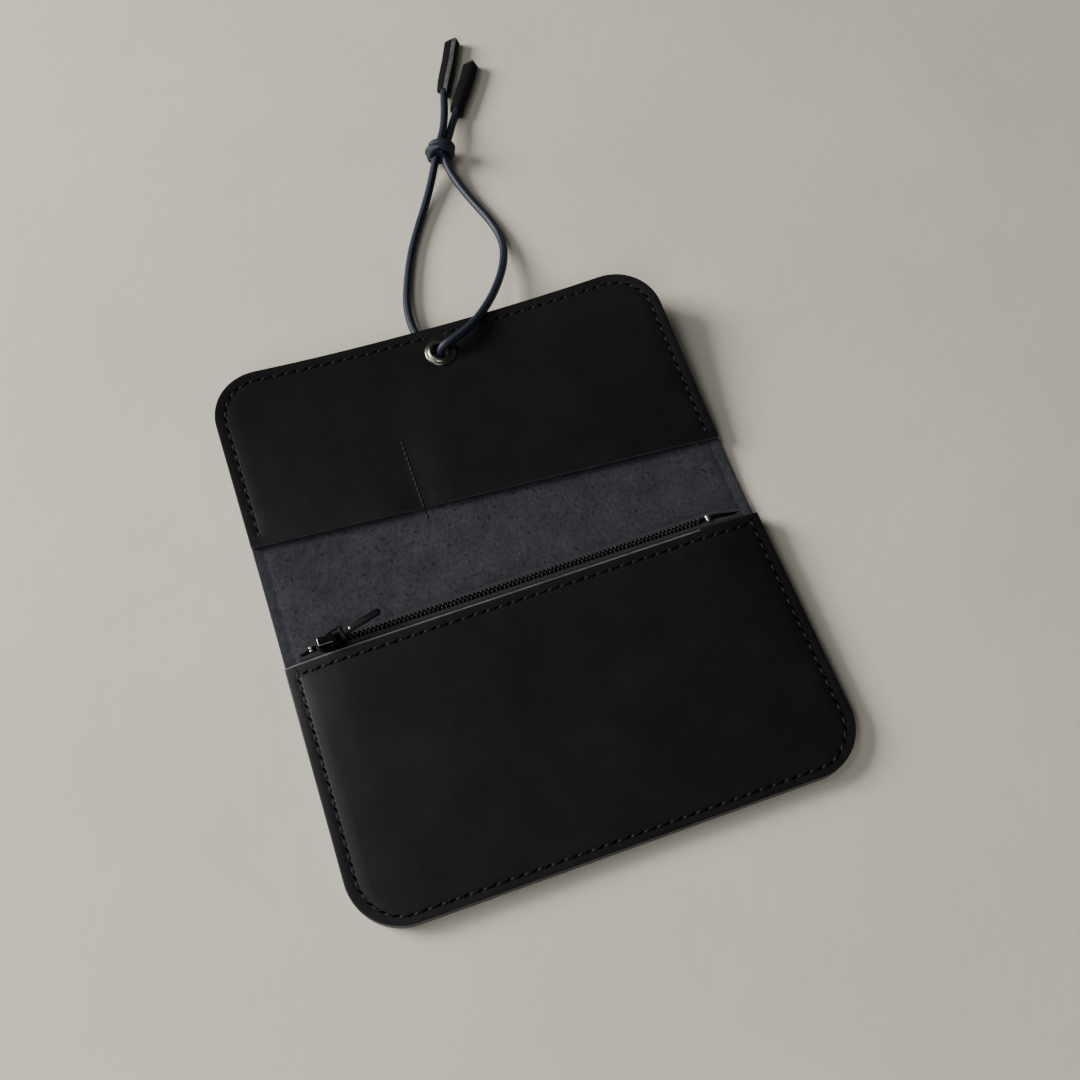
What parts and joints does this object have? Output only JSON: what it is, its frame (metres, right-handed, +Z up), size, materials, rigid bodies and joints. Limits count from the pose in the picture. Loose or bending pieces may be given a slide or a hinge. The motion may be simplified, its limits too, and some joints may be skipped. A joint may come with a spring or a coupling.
{
  "type": "long wallet",
  "caption": "Folding long wallet in leather, lying open, with a zipped coin pocket, a card pocket, an eyelet and a knotted elastic cord that ties it shut.",
  "frame": {"origin": "middle of the open wallet's footprint, cord left out, on the table", "axes": "+X along the zip from its top stops to its bottom stop, +Y from the pocket's bottom edge to the flap's far edge, +Z up"},
  "size_m": [0.195, 0.4034, 0.0156],
  "materials": {
    "leather_outer": "smooth matt black leather with a blue-grey suede inner face",
    "leather_smooth": "smooth matt black leather",
    "leather_suede": "undyed flesh side, matt grey-black",
    "zip_tape": "woven black tape",
    "zip_teeth": "black metal teeth",
    "zip_stop": "dark nickel",
    "slider": "black lacquered metal with bright edges",
    "eyelet": "aged nickel-plated brass",
    "thread": "waxed dark grey thread",
    "cord": "braided navy-black elastic"
  },
  "bodies": {
    "base": {"cover_back": "leather_outer", "coin_pocket_back": "leather_suede", "coin_pocket_front": "leather_smooth", "zip_tape_front": "zip_tape", "zip_tape_back": "zip_tape", "zip_teeth_front": "zip_teeth", "zip_teeth_back": "zip_teeth", "zip_top_stops": "zip_stop", "zip_bottom_stop": "zip_stop", "seam_pocket": "thread", "seam_zip": "thread"},
    "spine": {"cover_spine": "leather_outer"},
    "flap": {"cover_flap": "leather_outer", "card_pocket_panel": "leather_smooth", "eyelet": "eyelet", "eyelet_washer": "eyelet", "seam_flap": "thread", "seam_divider": "thread"},
    "slider": {"slider_body": "slider", "slider_bail": "slider"},
    "pull_tab": {"pull_tab": "slider"},
    "cord_loop": {"cord_front_strand": "cord", "cord_back_strand": "cord", "cord_knot": "cord", "cord_tip_front": "leather_smooth", "cord_tip_back": "leather_smooth"}
  },
  "joints": [
    {"name": "spine_fold", "type": "hinge", "parent": "base", "child": "spine", "pos_m": [0, -0.002, 0.0018], "axis": [1, 0, 0], "range_deg": [0, 88.25]},
    {"name": "flap_fold", "type": "hinge", "parent": "spine", "child": "flap", "pos_m": [0, 0.01049, 0.00218], "axis": [1, 0, 0], "range_deg": [0, 88.25]},
    {"name": "zip_slide", "type": "slide", "parent": "base", "child": "slider", "axis": [0.9999, 0.0144, 0], "range_m": [0, 0.1485]},
    {"name": "tab_swing", "type": "hinge", "parent": "slider", "child": "pull_tab", "pos_m": [-0.07855, -0.00843, 0.0099], "axis": [0.1188, -0.9929, 0], "range_deg": [0, 164]},
    {"name": "cord_swivel", "type": "hinge", "parent": "flap", "child": "cord_loop", "pos_m": [0.0003, 0.10356, 0.00727], "axis": [0, 0, 1], "range_deg": [0, 25]}
  ],
  "couplings": [
    {"joint": "spine_fold", "follows": "flap_fold", "ratio": 1}
  ]
}
